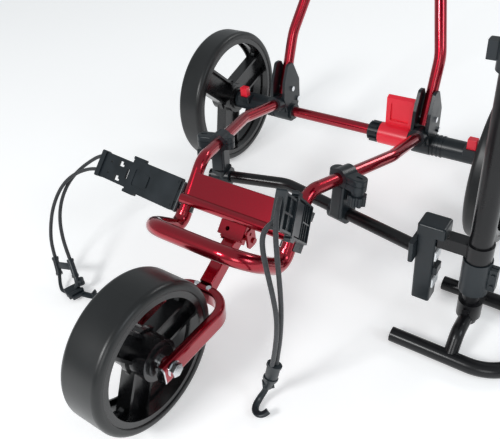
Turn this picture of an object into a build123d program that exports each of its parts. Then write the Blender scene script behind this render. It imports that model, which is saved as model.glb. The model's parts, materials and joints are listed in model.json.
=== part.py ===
from build123d import *
import math
import os

os.makedirs("parts", exist_ok=True)

# Three-wheeled golf push cart without its bag: folding tube frame, two swinging bag arms with
# elastic cords, and a clip-on seat. X runs across the cart, -Y is forward and +Z is up. The
# origin is on the ground under the middle of the rear axle. Left is the -X side. Millimetres.

# ---- driving dimensions -------------------------------------------------------------------
TUBE_R = 11.1            # frame tubes, 22.2 outside
TUBE_WALL = 1.6
LOOP_R = 14.0            # bag loop tube, 28 outside
REAR_R = 150.0           # rear tyre
REAR_HALF = 29.0         # half of the rear tyre's width
TRACK = 319.0            # middle plane to the centre of a rear wheel
FRONT_R = 120.0
FRONT_HALF = 36.5
FRONT_Y = -660.0
TYRE_DEPTH = 15.0
RUN_GAP = 0.05           # radial clearance of every turning fit
RAIL_X = 160.0
RAIL_BEND = (RAIL_X, -152, 207)
LEG_TOP = (107, -350, 241)
LEG_END_X, LEG_END_S = 105.0, -27.0
LEG_ORIGIN = (0, -404, 187)
SLOPE = math.sqrt(0.5)   # the front legs run down at 45 degrees
PIVOT_Y, PIVOT_Z = 2.0, 204.0
POST_X, POST_Y = 362.0, -290.0
BEAM_Z = 158.0
CORD_R = 3.5

UP_SLOPE = Vector(0, SLOPE, SLOPE)
OUT_OF_LEG = Vector(0, -SLOPE, SLOPE)
LEG = Plane(origin=LEG_ORIGIN, x_dir=(1, 0, 0), z_dir=OUT_OF_LEG)


# ---- shared building steps ----------------------------------------------------------------
def save(built, name):
    """Label one finished sub-part and write its STEP file."""
    built.part.label = name
    export_step(built.part, f"parts/{name}.step")


def tube(points, radii, outer, wall=0.0, mode=Mode.ADD):
    """Round tube along straight runs joined by tangent arcs; wall 0 makes a solid bar."""
    with BuildLine() as path:
        FilletPolyline(*points, radius=radii)
    with BuildSketch(Plane(origin=path.line @ 0, z_dir=path.line % 0)) as ring:
        Circle(outer)
        if wall:
            Circle(outer - wall, mode=Mode.SUBTRACT)
    sweep(ring.sketch, path=path.line, mode=mode)


def rod(start, end, outer, inner=0.0, mode=Mode.ADD):
    """Straight round bar or sleeve between two points."""
    start, end = Vector(*start), Vector(*end)
    with BuildSketch(Plane(origin=start, z_dir=end - start)) as ring:
        Circle(outer)
        if inner:
            Circle(inner, mode=Mode.SUBTRACT)
    extrude(ring.sketch, amount=(end - start).length, mode=mode)


def slab(plane, x_span, y_span, z_span, corner=0.0, mode=Mode.ADD):
    """Rectangular plate or box given by its spans in a plane's own axes."""
    width, height = x_span[1] - x_span[0], y_span[1] - y_span[0]
    middle = ((x_span[0] + x_span[1]) / 2, (y_span[0] + y_span[1]) / 2)
    with BuildSketch(plane.offset(z_span[0])) as outline:
        with Locations(middle):
            if corner:
                RectangleRounded(width, height, corner)
            else:
                Rectangle(width, height)
    extrude(outline.sketch, amount=z_span[1] - z_span[0], mode=mode)


def hexagon(centre, direction, across, thickness):
    """Bolt head or nut."""
    with BuildSketch(Plane(origin=centre, z_dir=direction)) as outline:
        RegularPolygon(across / 2, 6, major_radius=False)
    extrude(outline.sketch, amount=thickness)


def leg_point(x, s, n):
    """Point given across, up the slope of the front legs and out of their plane."""
    return (x, LEG_ORIGIN[1] + SLOPE * (s - n), LEG_ORIGIN[2] + SLOPE * (s + n))


def leg_axis(side, s):
    """Point of a front leg's axis at a distance up the slope."""
    rise = math.dist(LEG_TOP, leg_point(LEG_END_X, LEG_END_S, 0))
    lean_in = (LEG_TOP[0] - LEG_END_X) / rise
    return leg_point(side * (LEG_END_X + lean_in * (s - LEG_END_S)), s, 0)


def mirrored(point, side):
    """The same point on the -X or +X side."""
    return (side * point[0], point[1], point[2])


# ---- wheels -------------------------------------------------------------------------------
def tyre(centre, radius, half_width):
    """Thin smooth tyre band with rounded shoulders and a small bead on both sides."""
    section_plane = Plane(origin=centre, x_dir=(1, 0, 0), z_dir=(0, -1, 0))
    with BuildSketch(section_plane) as section:
        with Locations((0, radius - TYRE_DEPTH / 2)):
            Rectangle(2 * half_width, TYRE_DEPTH)
        fillet(section.vertices().group_by(Axis.Y)[-1], 9.5)
        fillet(section.vertices().group_by(Axis.Y)[0], 2)
    revolve(section.sketch, axis=Axis(centre, (1, 0, 0)))


def rim(centre, radius, half_width, hub_half, axle_r, spoke_width, first_spoke, closed_side=0):
    """Deep dished rim: barrel, three broad ribbed spokes and a hub."""
    barrel_outer = radius - TYRE_DEPTH
    barrel_inner = barrel_outer - 4
    hub_r = 25
    section_plane = Plane(origin=centre, x_dir=(1, 0, 0), z_dir=(0, -1, 0))
    with BuildSketch(section_plane) as section:
        with Locations((0, (barrel_outer + barrel_inner) / 2)):
            Rectangle(2 * half_width - 5, barrel_outer - barrel_inner)
        with Locations((half_width - 4, barrel_outer - 5), (4 - half_width, barrel_outer - 5)):
            Rectangle(3, 10)
        with Locations((0, (hub_r + barrel_inner) / 2)):
            Rectangle(9, barrel_inner - hub_r + 4)
        with Locations((0, (hub_r + axle_r) / 2)):
            Rectangle(2 * hub_half, hub_r - axle_r)
        with Locations((0, (hub_r + axle_r) / 2 + 4)):
            Rectangle(2 * hub_half - 8, hub_r - axle_r + 8)
    revolve(section.sketch, axis=Axis(centre, (1, 0, 0)))
    side_view = Plane(origin=centre, x_dir=(0, 1, 0), z_dir=(1, 0, 0))
    with BuildSketch(side_view) as windows:
        Circle(barrel_inner - 5)
        Circle(hub_r + 12, mode=Mode.SUBTRACT)
        with PolarLocations(0, 3, start_angle=first_spoke):
            Rectangle(radius, spoke_width, align=(Align.MIN, Align.CENTER), mode=Mode.SUBTRACT)
        fillet(windows.vertices(), 7)
    extrude(windows.sketch, amount=8, both=True, mode=Mode.SUBTRACT)
    with BuildSketch(side_view) as ribs:
        with PolarLocations(0, 3, start_angle=first_spoke):
            with Locations((0, spoke_width / 2 - 2.5), (0, 2.5 - spoke_width / 2)):
                Rectangle(barrel_inner + 1, 5, align=(Align.MIN, Align.CENTER))
        Circle(hub_r - 4, mode=Mode.SUBTRACT)
    extrude(ribs.sketch, amount=13, both=True)
    if closed_side:
        with BuildSketch(side_view.offset(closed_side * hub_half)) as cap:
            Circle(hub_r - 4)
        extrude(cap.sketch, amount=closed_side * 4)


REAR_HUB_HALF = 30.0
for side, word in ((-1, "left"), (1, "right")):
    rear_centre = (side * TRACK, 0, REAR_R)
    with BuildPart() as rear_tyre:
        tyre(rear_centre, REAR_R, REAR_HALF)
    save(rear_tyre, f"{word}_rear_tyre")
    with BuildPart() as rear_rim:
        rim(rear_centre, REAR_R, REAR_HALF, REAR_HUB_HALF, 8 + RUN_GAP, 54, 135, side)
    save(rear_rim, f"{word}_rear_rim")

front_centre = (0, FRONT_Y, FRONT_R)
with BuildPart() as front_tyre:
    tyre(front_centre, FRONT_R, FRONT_HALF)
save(front_tyre, "front_tyre")
with BuildPart() as front_rim:
    rim(front_centre, FRONT_R, FRONT_HALF, 41, 6 + RUN_GAP, 44, 2)
save(front_rim, "front_rim")

# ---- main rails, cross tube, plate and bag loop -------------------------------------------
RAIL_RADII = [60, 35]
for side, word in ((-1, "left"), (1, "right")):
    with BuildPart() as rail:
        route = [(side * RAIL_X, -29, 180), mirrored(RAIL_BEND, side), mirrored(LEG_TOP, side)]
        tube(route + [leg_axis(side, LEG_END_S)], RAIL_RADII, TUBE_R, TUBE_WALL)
    save(rail, f"{word}_rail")

CROSS_N = 10.0           # the cross tube and plate sit in front of the legs
with BuildPart() as crossmember:
    slab(LEG, (-99, 99), (8.5, 50), (CROSS_N - 1.5, CROSS_N + 2.5))
    slab(LEG, (-92, 92), (46, 50), (CROSS_N - 9, CROSS_N + 2.5))
    chamfer(crossmember.edges().filter_by(Axis.X).sort_by(Axis.Z)[-2:], 0.8)
    rod(leg_point(-112, 0, CROSS_N), leg_point(112, 0, CROSS_N), 9.5)
    for side in (-1, 1):
        rod(leg_axis(side, -30), leg_axis(side, 62), TUBE_R, mode=Mode.SUBTRACT)
save(crossmember, "crossmember")

LOOP_ANGLE = math.radians(42)
loop_start_s = -20
corner = leg_point(105, -50, 0)
bar_y = corner[1] - 105 * math.cos(LOOP_ANGLE)
bar_z = corner[2] + 105 * math.sin(LOOP_ANGLE)
with BuildPart() as bag_loop:
    half = [leg_point(105, loop_start_s, 0), corner, (98, bar_y, bar_z)]
    other = [(-x, y, z) for x, y, z in reversed(half)]
    tube(half + other, [24, 50, 50, 24], LOOP_R, LOOP_R - TUBE_R)
    for side in (-1, 1):
        rod(leg_axis(side, LEG_END_S), leg_axis(side, 0), TUBE_R, mode=Mode.SUBTRACT)
save(bag_loop, "bag_loop")

# ---- folding strut and its bracket --------------------------------------------------------
FOLD_Y, FOLD_Z = -412.0, 157.0
FOLD_PIN_R = 5.0
CROWN_Y, CROWN_Z = -512.0, 106.0
ARM_END_Y, ARM_END_Z = -676.0, 115.0
FORK_X = 54.0
strut_run = Vector(0, CROWN_Y + 8 - FOLD_Y, CROWN_Z + 6 - FOLD_Z)
strut_dir = strut_run.normalized()
STRUT = Plane(origin=(0, FOLD_Y, FOLD_Z), x_dir=(1, 0, 0), z_dir=strut_dir)

fold_s = SLOPE * (FOLD_Y - LEG_ORIGIN[1] + FOLD_Z - LEG_ORIGIN[2])
fold_n = SLOPE * (FOLD_Z - LEG_ORIGIN[2] - FOLD_Y + LEG_ORIGIN[1])
with BuildPart() as strut_bracket:
    slab(LEG, (-24, 26), (-34, -4), (3.5, 6.5), 2)
    slab(LEG, (-12, 26), (-37, -34), (3.5, 14))
    for side in (-1, 1):
        slab(LEG, (side * 14 - 1.5, side * 14 + 1.5), (fold_s - 14, -6), (fold_n - 10, 4))
    rod(leg_point(-7, -22, 0), leg_point(-7, -22, 9), 4, mode=Mode.SUBTRACT)
    rod(leg_point(-112, 0, CROSS_N), leg_point(112, 0, CROSS_N), 9.5, mode=Mode.SUBTRACT)
    rod((-22, FOLD_Y, FOLD_Z), (38, FOLD_Y, FOLD_Z), FOLD_PIN_R)
    hexagon((-22, FOLD_Y, FOLD_Z), (-1, 0, 0), 16, 5)
save(strut_bracket, "strut_bracket")

with BuildPart() as fold_latch:
    with BuildSketch(Plane(origin=(31, FOLD_Y, FOLD_Z), x_dir=(0, 1, 0), z_dir=(1, 0, 0))) as lug:
        with Locations((-4, 8)):
            Rectangle(22, 36)
        fillet(lug.vertices(), 6)
        Circle(FOLD_PIN_R + RUN_GAP, mode=Mode.SUBTRACT)
        with Locations((-6, 18)):
            Circle(3, mode=Mode.SUBTRACT)
    extrude(lug.sketch, amount=4)
    rod((31, FOLD_Y - 13, FOLD_Z + 12), (31.5, FOLD_Y - 13, FOLD_Z + 12), 2.5)
save(fold_latch, "fold_latch")

with BuildPart() as strut:
    strut_length = strut_run.length
    slab(STRUT, (-12, 12), (-13, 13), (-11, strut_length), 3)
    slab(STRUT, (-10.5, 10.5), (-11.5, 11.5), (8, strut_length), 2, mode=Mode.SUBTRACT)
    rod((-20, FOLD_Y, FOLD_Z), (20, FOLD_Y, FOLD_Z), FOLD_PIN_R + RUN_GAP, mode=Mode.SUBTRACT)
    slab(Plane.XY, (-60, 60), (CROWN_Y - 40, CROWN_Y + 8), (50, 160), mode=Mode.SUBTRACT)
save(strut, "strut")

with BuildPart() as fork:
    with BuildLine() as fork_path:
        ends = [(FORK_X, ARM_END_Y, ARM_END_Z), (FORK_X, CROWN_Y, CROWN_Z)]
        FilletPolyline(*ends, *[(-x, y, z) for x, y, z in reversed(ends)], radius=40)
    along = fork_path.line % 0
    with BuildSketch(Plane(origin=ends[0], x_dir=(1, 0, 0), z_dir=along)) as fork_section:
        RectangleRounded(16, 32, 6)
        RectangleRounded(12.4, 28.4, 4.2, mode=Mode.SUBTRACT)
    sweep(fork_section.sketch, path=fork_path.line)
    for side in (-1, 1):
        rod((side * 40, FRONT_Y, FRONT_R), (side * 70, FRONT_Y, FRONT_R), 6, mode=Mode.SUBTRACT)
save(fork, "fork")

with BuildPart() as fork_fittings:
    arm_dir = Vector(0, ARM_END_Y - CROWN_Y, ARM_END_Z - CROWN_Z).normalized()
    for side in (-1, 1):
        end_plane = Plane(origin=(side * FORK_X, ARM_END_Y, ARM_END_Z), x_dir=(1, 0, 0), z_dir=arm_dir)
        slab(end_plane, (-6.2, 6.2), (-14.2, 14.2), (-8, 0), 4.2)
        slab(end_plane, (-8, 8), (-16, 16), (0, 2.5), 6)
        hexagon((side * 12, CROWN_Y, CROWN_Z + 16), (0, 0, 1), 8, 3)
save(fork_fittings, "fork_fittings")

with BuildPart() as front_axle:
    rod((-66, FRONT_Y, FRONT_R), (66, FRONT_Y, FRONT_R), 6)
    for side in (-1, 1):
        rod((side * 41.4, FRONT_Y, FRONT_R), (side * 46, FRONT_Y, FRONT_R), 11, 6)
        rod((side * 62, FRONT_Y, FRONT_R), (side * 64, FRONT_Y, FRONT_R), 12, 6)
        hexagon((side * 64, FRONT_Y, FRONT_R), (side, 0, 0), 19, 8)
save(front_axle, "front_axle")

# ---- rear axle, pedal and wheel releases --------------------------------------------------
with BuildPart() as axle_tube:
    rod((-232, 0, REAR_R), (232, 0, REAR_R), TUBE_R)
save(axle_tube, "axle_tube")

with BuildPart() as axle_bushes:
    for side in (-1, 1):
        rod((side * 136, 0, REAR_R), (side * 178, 0, REAR_R), 17, TUBE_R)
    rod((46, 0, REAR_R), (69, 0, REAR_R), 18, TUBE_R)
    with BuildSketch(Plane(origin=(49, 0, REAR_R), z_dir=(1, 0, 0))) as teeth:
        with PolarLocations(19, 10):
            Rectangle(5, 5)
    extrude(teeth.sketch, amount=17)
save(axle_bushes, "axle_bushes")

with BuildPart() as brake_pedal:
    rod((70, 0, REAR_R), (131, 0, REAR_R), 22, TUBE_R + RUN_GAP)
    pedal_view = Plane(origin=(77, 0, REAR_R), x_dir=(0, 1, 0), z_dir=(1, 0, 0))
    with BuildSketch(pedal_view) as pedal_side:
        with BuildLine():
            Polyline((2, 14), (5, 78), (14, 82), (20, 76), (21.5, 10), close=True)
        make_face()
        fillet(pedal_side.vertices().group_by(Axis.Y)[-1], 3)
        Circle(15, mode=Mode.SUBTRACT)
    extrude(pedal_side.sketch, amount=56)
    slab(Plane.XZ.offset(-7), (86, 124), (180, 218), (0, 6), 3, mode=Mode.SUBTRACT)
save(brake_pedal, "brake_pedal")

with BuildPart() as axle_sleeves:
    for side in (-1, 1):
        rod((side * 178.3, 0, REAR_R), (side * 286, 0, REAR_R), 20)
        for start in (182, 190, 198):
            rod((side * start, 0, REAR_R), (side * (start + 3), 0, REAR_R), 21.5, 18)
        slab(Plane.XY, sorted((side * 244, side * 272)), (-26, -2), (158, 172), 2)
        rod((side * 170, 0, REAR_R), (side * 232, 0, REAR_R), TUBE_R, mode=Mode.SUBTRACT)
        rod((side * 230, 0, REAR_R), (side * 300, 0, REAR_R), 8, mode=Mode.SUBTRACT)
        button_hole = sorted((side * 248.7, side * 267.3))
        slab(Plane.XY, button_hole, (-22.3, -7.7), (160, 180), mode=Mode.SUBTRACT)
save(axle_sleeves, "axle_sleeves")

for side, word in ((-1, "left"), (1, "right")):
    with BuildPart() as release_button:
        slab(Plane.XY, sorted((side * 249, side * 267)), (-22, -8), (166, 192), 2)
        fillet(release_button.faces().sort_by(Axis.Z)[-1].edges(), 1.2)
    save(release_button, f"{word}_release_button")

with BuildPart() as wheel_pins:
    for side in (-1, 1):
        rod((side * 232, 0, REAR_R), (side * 348, 0, REAR_R), 8)
        rod((side * 286, 0, REAR_R), (side * 288.6, 0, REAR_R), 14, 8)
save(wheel_pins, "wheel_pins")

# ---- rear brackets and their pivots -------------------------------------------------------
CHEEK_IN, CHEEK_OUT = 11.5, 17.5
BRACKET_PIN_R = 4.0
rail_back = Vector(0, 123, -27).normalized()
with BuildPart() as rear_brackets:
    for x_mid in (-RAIL_X, RAIL_X):
        side_plane = Plane(origin=(x_mid, 0, 0), x_dir=(0, 1, 0), z_dir=(1, 0, 0))
        with BuildSketch(side_plane) as cheek:
            with BuildLine():
                Polyline(
                    (-20, 158), (-30, 192), (-24, 226), (-6, 262), (12, 260),
                    (34, 214), (32, 172), (18, 146), (0, 138), close=True,
                )
            make_face()
            fillet(cheek.vertices(), 8)
        for middle in (-(CHEEK_IN + CHEEK_OUT) / 2, (CHEEK_IN + CHEEK_OUT) / 2):
            moved = cheek.sketch.moved(Location((middle, 0, 0)))
            extrude(moved, amount=(CHEEK_OUT - CHEEK_IN) / 2, both=True)
        slab(Plane.XY, (x_mid - 13, x_mid + 13), (-26, 30), (158, 182), 4)
        front_end = Vector(x_mid, -46, 183.7)
        rod(front_end, front_end + rail_back * 29.5, 17)
        rod(front_end, front_end + rail_back * 17.4, TUBE_R + 0.05, mode=Mode.SUBTRACT)
        rod((x_mid - 18, 0, REAR_R), (x_mid + 18, 0, REAR_R), 22)
        rod((x_mid - 30, 0, REAR_R), (x_mid + 30, 0, REAR_R), 17, mode=Mode.SUBTRACT)
        for y, z in ((PIVOT_Y, PIVOT_Z), (22, 172)):
            rod((x_mid - 30, y, z), (x_mid + 30, y, z), BRACKET_PIN_R, mode=Mode.SUBTRACT)
save(rear_brackets, "rear_brackets")

with BuildPart() as pivot_bolts:
    for side in (-1, 1):
        for y, z in ((PIVOT_Y, PIVOT_Z), (22, 172)):
            inner, outer = side * (RAIL_X - CHEEK_OUT), side * (RAIL_X + CHEEK_OUT)
            rod((inner, y, z), (outer, y, z), BRACKET_PIN_R)
            hexagon((outer, y, z), (side, 0, 0), 10, 4)
            hexagon((inner, y, z), (-side, 0, 0), 10, 4)
save(pivot_bolts, "pivot_bolts")

# ---- upper frame: uprights, bracket, bag cradle and handle --------------------------------
UPRIGHT_LEAN = math.radians(23)
lean = Vector(0, math.sin(UPRIGHT_LEAN), math.cos(UPRIGHT_LEAN))
pivot = Vector(0, PIVOT_Y, PIVOT_Z)
BEND_UP, TOP_UP = 115.0, 528.0       # distances up the lean from the pivot
UPRIGHT_TOP_X = 60.0


def on_upright(x, up, out=0.0):
    """Point at a distance up the leaning frame from the pivot, and out towards the bag."""
    point = pivot + lean * up + Vector(0, -lean.Z, lean.Y) * out
    return (x, point.Y, point.Z)


TOP = Plane(origin=on_upright(0, TOP_UP), x_dir=(1, 0, 0), z_dir=(0, -lean.Z, lean.Y))
for side, word in ((-1, "left"), (1, "right")):
    with BuildPart() as upright:
        route = [on_upright(side * RAIL_X, -14), on_upright(side * RAIL_X, BEND_UP)]
        tube(route + [on_upright(side * UPRIGHT_TOP_X, TOP_UP)], 110, TUBE_R, TUBE_WALL)
        pin = BRACKET_PIN_R + RUN_GAP
        rod((side * 140, PIVOT_Y, PIVOT_Z), (side * 180, PIVOT_Y, PIVOT_Z), pin, mode=Mode.SUBTRACT)
    save(upright, f"{word}_upright")

HANDLE_UP = 56.0
with BuildPart() as upper_bracket:
    slab(TOP, (-86, 86), (-30, 26), (-17, 17), 12)
    slab(TOP, (-22, 22), (20, 40), (-17, 17), 5)
    for side in (-1, 1):
        slab(TOP, sorted((side * 14, side * 22)), (36, HANDLE_UP + 15), (-15, 15), 3.5)
        below = on_upright(side * RAIL_X, BEND_UP)
        rod(below, on_upright(side * UPRIGHT_TOP_X, TOP_UP), TUBE_R, mode=Mode.SUBTRACT)
    hinge_mid = TOP.origin + lean * HANDLE_UP
    rod(hinge_mid - Vector(40, 0, 0), hinge_mid + Vector(40, 0, 0), 5, mode=Mode.SUBTRACT)
    slab(TOP, (-22, 22), (-18, 14), (17, 24), 4)
save(upper_bracket, "upper_bracket")

with BuildPart() as bag_cradle:
    half = [(0, 33), (62, 37), (104, 60), (122, 104)]
    profile = [(-x, z) for x, z in reversed(half[1:])] + half[1:]
    route = [on_upright(x, TOP_UP - 2, z) for x, z in profile]
    tube(route, [45, 60, 60, 45], 9)
    for side in (-1, 1):
        rod(on_upright(side * 117, TOP_UP - 2, 92), on_upright(side * 119.5, TOP_UP - 2, 98), 12)
    slab(TOP, (-24, 24), (-14, 10), (24, 32), 3)
save(bag_cradle, "bag_cradle")

handle_foot = hinge_mid
handle_bend = handle_foot + Vector(0, 50, 118)
handle_top = handle_bend + Vector(0, 92, 92)
with BuildPart() as handle_tube:
    tube([handle_foot + Vector(0, -4, -9), handle_bend, handle_top], 60, 12.5, 2)
    rod(hinge_mid - Vector(13.4, 0, 0), hinge_mid + Vector(13.4, 0, 0), 10)
    slot = 5 + RUN_GAP
    rod(hinge_mid - Vector(20, 0, 0), hinge_mid + Vector(20, 0, 0), slot, mode=Mode.SUBTRACT)
save(handle_tube, "handle_tube")

GRIP_HALF = 85.0
with BuildPart() as handle_grip:
    rod(handle_top - Vector(GRIP_HALF, 0, 0), handle_top + Vector(GRIP_HALF, 0, 0), 16)
    for side in (-1, 1):
        end = handle_top + Vector(side * (GRIP_HALF - 3), 0, 0)
        rod(end, end + Vector(side * 7, 0, 0), 18)
    rod(handle_bend, handle_top, 12.5, mode=Mode.SUBTRACT)
save(handle_grip, "handle_grip")

with BuildPart() as handle_pivot:
    rod(hinge_mid - Vector(22, 0, 0), hinge_mid + Vector(34, 0, 0), 5)
    hexagon(hinge_mid - Vector(22, 0, 0), (-1, 0, 0), 14, 5)
save(handle_pivot, "handle_pivot")


def star_knob(foot, direction, radius, depth, bore):
    """Hand knob with eight lobes round a threaded bolt."""
    with BuildSketch(Plane(origin=foot, z_dir=direction)) as lobes:
        Circle(radius * 0.84)
        with PolarLocations(radius * 0.78, 8):
            Circle(radius * 0.24)
        Circle(bore, mode=Mode.SUBTRACT)
    extrude(lobes.sketch, amount=depth)


with BuildPart() as handle_knob:
    star_knob(hinge_mid + Vector(22.3, 0, 0), (1, 0, 0), 20, 16, 5 + RUN_GAP)
save(handle_knob, "handle_knob")

# ---- bag arms -----------------------------------------------------------------------------
HINGE_N = 3.0
ARM_PIN_R = 2.5
ARM_LAYOUT = {            # side, hinge x, hinge s, tilt and swing inwards in degrees
    "left": (-1, 123, 0, 3, 0),
    "right": (1, 125, 22, 10, 77),
}


def arm_frame(side, hinge_x, hinge_s, tilt_deg, swing_deg):
    """Plane with x out along the arm and z on the bag side, and the hinge's direction."""
    tilt, swing = math.radians(tilt_deg), math.radians(swing_deg)
    outward = Vector(side, 0, 0) * math.cos(tilt) + UP_SLOPE * math.sin(tilt)
    hinge = UP_SLOPE * math.cos(tilt) - Vector(side, 0, 0) * math.sin(tilt)
    reach = outward * math.cos(swing) + OUT_OF_LEG * math.sin(swing)
    bag_side = OUT_OF_LEG * math.cos(swing) - outward * math.sin(swing)
    plane = Plane(origin=leg_point(side * hinge_x, hinge_s, HINGE_N), x_dir=reach, z_dir=bag_side)
    return plane, hinge


def span(side, low, high):
    """Span across the arm, measured up the hinge whichever side the arm is on."""
    return sorted((side * low, side * high))


arm_tips = {}
for word, layout in ARM_LAYOUT.items():
    side = layout[0]
    arm, hinge = arm_frame(*layout)
    arm_tips[word] = [arm.from_local_coords((206, side * v, -1)) for v in (14, -14)]
    with BuildPart() as arm_base:
        slab(arm, (6.5, 125), span(side, -28, 32), (-7, 4), 3)
        slab(arm, (9.5, 140), span(side, -25, 29), (-8, 0.8), mode=Mode.SUBTRACT)
        slab(arm, (9, 64), span(side, 1, 3), (-6, 1))
        for u in (28, 46, 62):
            slab(arm, (u, u + 2), span(side, -26, 30), (-6, 1))
        slab(arm, (113, 125), span(side, -26, 30), (-7, -5.6))
        for low, high in ((-33, -27), (31, 37)):
            slab(arm, (100, 128), span(side, low, high), (-6.5, 3), 2)
        slab(arm, (72, 112), span(side, -16, 16), (2.8, 5), 4, mode=Mode.SUBTRACT)
        slab(arm, (76, 90), span(side, -11, 11), (2.4, 4.8), 3)
        for v in (-20, 24):
            rod(arm.from_local_coords((13, side * v, 3)), arm.from_local_coords((13, side * v, 5)), 2.5)
        rod(arm.origin - hinge * 10, arm.origin + hinge * 10, 5)
        slab(arm, (2, 9), span(side, -10, 10), (-4, 3))
        rod(arm.origin - hinge * 30, arm.origin + hinge * 30, ARM_PIN_R + RUN_GAP, mode=Mode.SUBTRACT)
    save(arm_base, f"{word}_arm_base")
    with BuildPart() as arm_extension:
        slab(arm, (68, 127), span(side, -22.5, 26.5), (-4.9, 0.3))
        slab(arm, (125.6, 200), span(side, -24.5, 24.5), (-6, 2.5), 2)
        slab(arm, (129, 196), span(side, -21.5, 21.5), (-7, -2.5), mode=Mode.SUBTRACT)
        slab(arm, (128, 133), span(side, -10, 10), (-8, 4), 1.5, mode=Mode.SUBTRACT)
        slab(arm, (138, 196), span(side, -1.2, 1.2), (-6, 0))
        slab(arm, (163, 165), span(side, -22, 22), (-6, 0))
        for v in (-14, 14):
            slab(arm, (148, 158), span(side, v - 5, v + 4), (-8, 4), mode=Mode.SUBTRACT)
            slab(arm, (144, 150), span(side, v - 5, v - 1), (-8, 4), mode=Mode.SUBTRACT)
            hole = arm.from_local_coords((176, side * v * 0.75, -8))
            rod(hole, hole + arm.z_dir * 16, 2.2, mode=Mode.SUBTRACT)
        slab(arm, (195, 206), span(side, -26, 26), (-8, 5.5), 3)
    save(arm_extension, f"{word}_arm_extension")

with BuildPart() as arm_brackets:
    for side, hinge_x, hinge_s, *_ in ARM_LAYOUT.values():
        slab(LEG, sorted((side * 98, side * hinge_x)), (loop_start_s + 0.3, hinge_s + 26), (-11, 2))
        rod(leg_axis(side, loop_start_s + 0.3), leg_axis(side, hinge_s + 27), TUBE_R + 3)
    slab(LEG, (-130, 130), (-40, 60), (2, 30), mode=Mode.SUBTRACT)
    for layout in ARM_LAYOUT.values():
        side, hinge_s = layout[0], layout[2]
        arm, hinge = arm_frame(*layout)
        knuckle_gap = sorted((side * 116.6, side * 140))
        slab(LEG, knuckle_gap, (hinge_s - 11.1, hinge_s + 11.1), (-20, 12), mode=Mode.SUBTRACT)
        for low, high in ((-27, -10.4), (10.4, 27)):
            rod(arm.origin + hinge * low, arm.origin + hinge * high, 5.2)
        rod(leg_axis(side, -60), leg_axis(side, 60), TUBE_R, mode=Mode.SUBTRACT)
        rod(arm.origin - hinge * 28, arm.origin + hinge * 28, ARM_PIN_R)
    rod(leg_point(-112, 0, CROSS_N), leg_point(112, 0, CROSS_N), 9.6, mode=Mode.SUBTRACT)
save(arm_brackets, "arm_brackets")

# ---- elastic cords with their clips and hooks ---------------------------------------------
def bend_radii(points):
    """Largest even radius that each corner's two runs leave room for."""
    radii = []
    for before, here, after in zip(points, points[1:], points[2:]):
        first, second = Vector(*here) - Vector(*before), Vector(*after) - Vector(*here)
        half_turn = math.radians(first.get_angle(second) / 2)
        radii.append(0.45 * min(first.length, second.length) / math.tan(half_turn))
    return radii


LEFT_STRANDS = [
    [(-328.2, -387.9, 205.9), (-342, -390, 201), (-361, -396, 189), (-380, -407, 175), (-392, -422, 162),
     (-397, -440, 149), (-395, -460, 135), (-387, -480, 120), (-373, -499, 104), (-355, -515, 88),
     (-336, -528, 72), (-320, -537, 55)],
    [(-329.7, -407.8, 186.2), (-344, -409, 184), (-361, -414, 179), (-377, -423, 173), (-389, -436, 165),
     (-398, -452, 153), (-403, -469, 136), (-404, -487, 115), (-400, -504, 92), (-392, -519, 71),
     (-381, -530, 55), (-368, -539, 41)],
]
RIGHT_STRANDS = [
    [(169.4, -517, 361.8), (174, -530, 357), (178, -541, 346), (181, -549, 329), (184, -554, 306),
     (187, -558, 280), (189, -561, 251), (189.5, -563, 220), (188, -565, 187), (183.5, -565.5, 151),
     (178, -566.5, 119), (174, -567, 94)],
    [(174.2, -536.5, 342.3), (167, -547, 337), (165.5, -556, 326), (169, -562, 309), (174.5, -566, 288),
     (180.5, -569.5, 265), (185.5, -572, 240), (188, -573, 213), (186.5, -574, 181), (181.5, -574.5, 147),
     (175.5, -574.5, 116), (170, -574, 94)],
]


def clip(upper, lower, across, half_width):
    """Flat moulded clip on the two strands, from its upper edge to its lower edge."""
    run = Vector(*lower) - Vector(*upper)
    face = Plane(origin=upper, x_dir=across, z_dir=run)
    slab(face, (-half_width, half_width), (-5.5, 5.5), (0, run.length * 0.36), 4)
    slab(face, (-6, 6), (-4.5, 4.5), (run.length * 0.36, run.length * 0.64))
    slab(face, (-half_width, half_width), (-5.5, 5.5), (run.length * 0.64, run.length), 4)


CORD_SETS = {"left": LEFT_STRANDS, "right": RIGHT_STRANDS}
for word, strands in CORD_SETS.items():
    with BuildPart() as cord:
        for points in strands:
            tube(points, bend_radii(points), CORD_R)
    save(cord, f"{word}_cord")

LEFT_HOOK = [(-322, -551, 24), (-313, -564, 14), (-297, -571, 10), (-277, -567, 9), (-256, -562, 10)]
LEFT_LEGS = [
    [(-347, -551, 15), (-338, -567, 8), (-320, -577, 6), (-302, -576, 8)],
    [(-297, -550, 37), (-288, -562, 24), (-286, -572, 13), (-296, -577, 8)],
]
RIGHT_HOOK = [(155, -569, 34), (148, -575, 18), (142, -588, 9), (148, -603, 7), (164, -608, 8), (172, -597, 10)]
with BuildPart() as left_cord_hook:
    clip((-344, -538, 48), (-322, -551, 23), (0.96, 0.06, 0.81), 29)
    tube(LEFT_HOOK, bend_radii(LEFT_HOOK), 4.5)
    for points in LEFT_LEGS:
        tube(points, bend_radii(points), 3.2)
    rod((-303, -570, 11), (-295, -572, 9.5), 7.5)
save(left_cord_hook, "left_cord_hook")
with BuildPart() as right_cord_hook:
    clip((172, -570.5, 95), (155, -569, 30), (1, 0.3, 0.25), 10.5)
    tube(RIGHT_HOOK, bend_radii(RIGHT_HOOK), 4.5)
save(right_cord_hook, "right_cord_hook")

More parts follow.
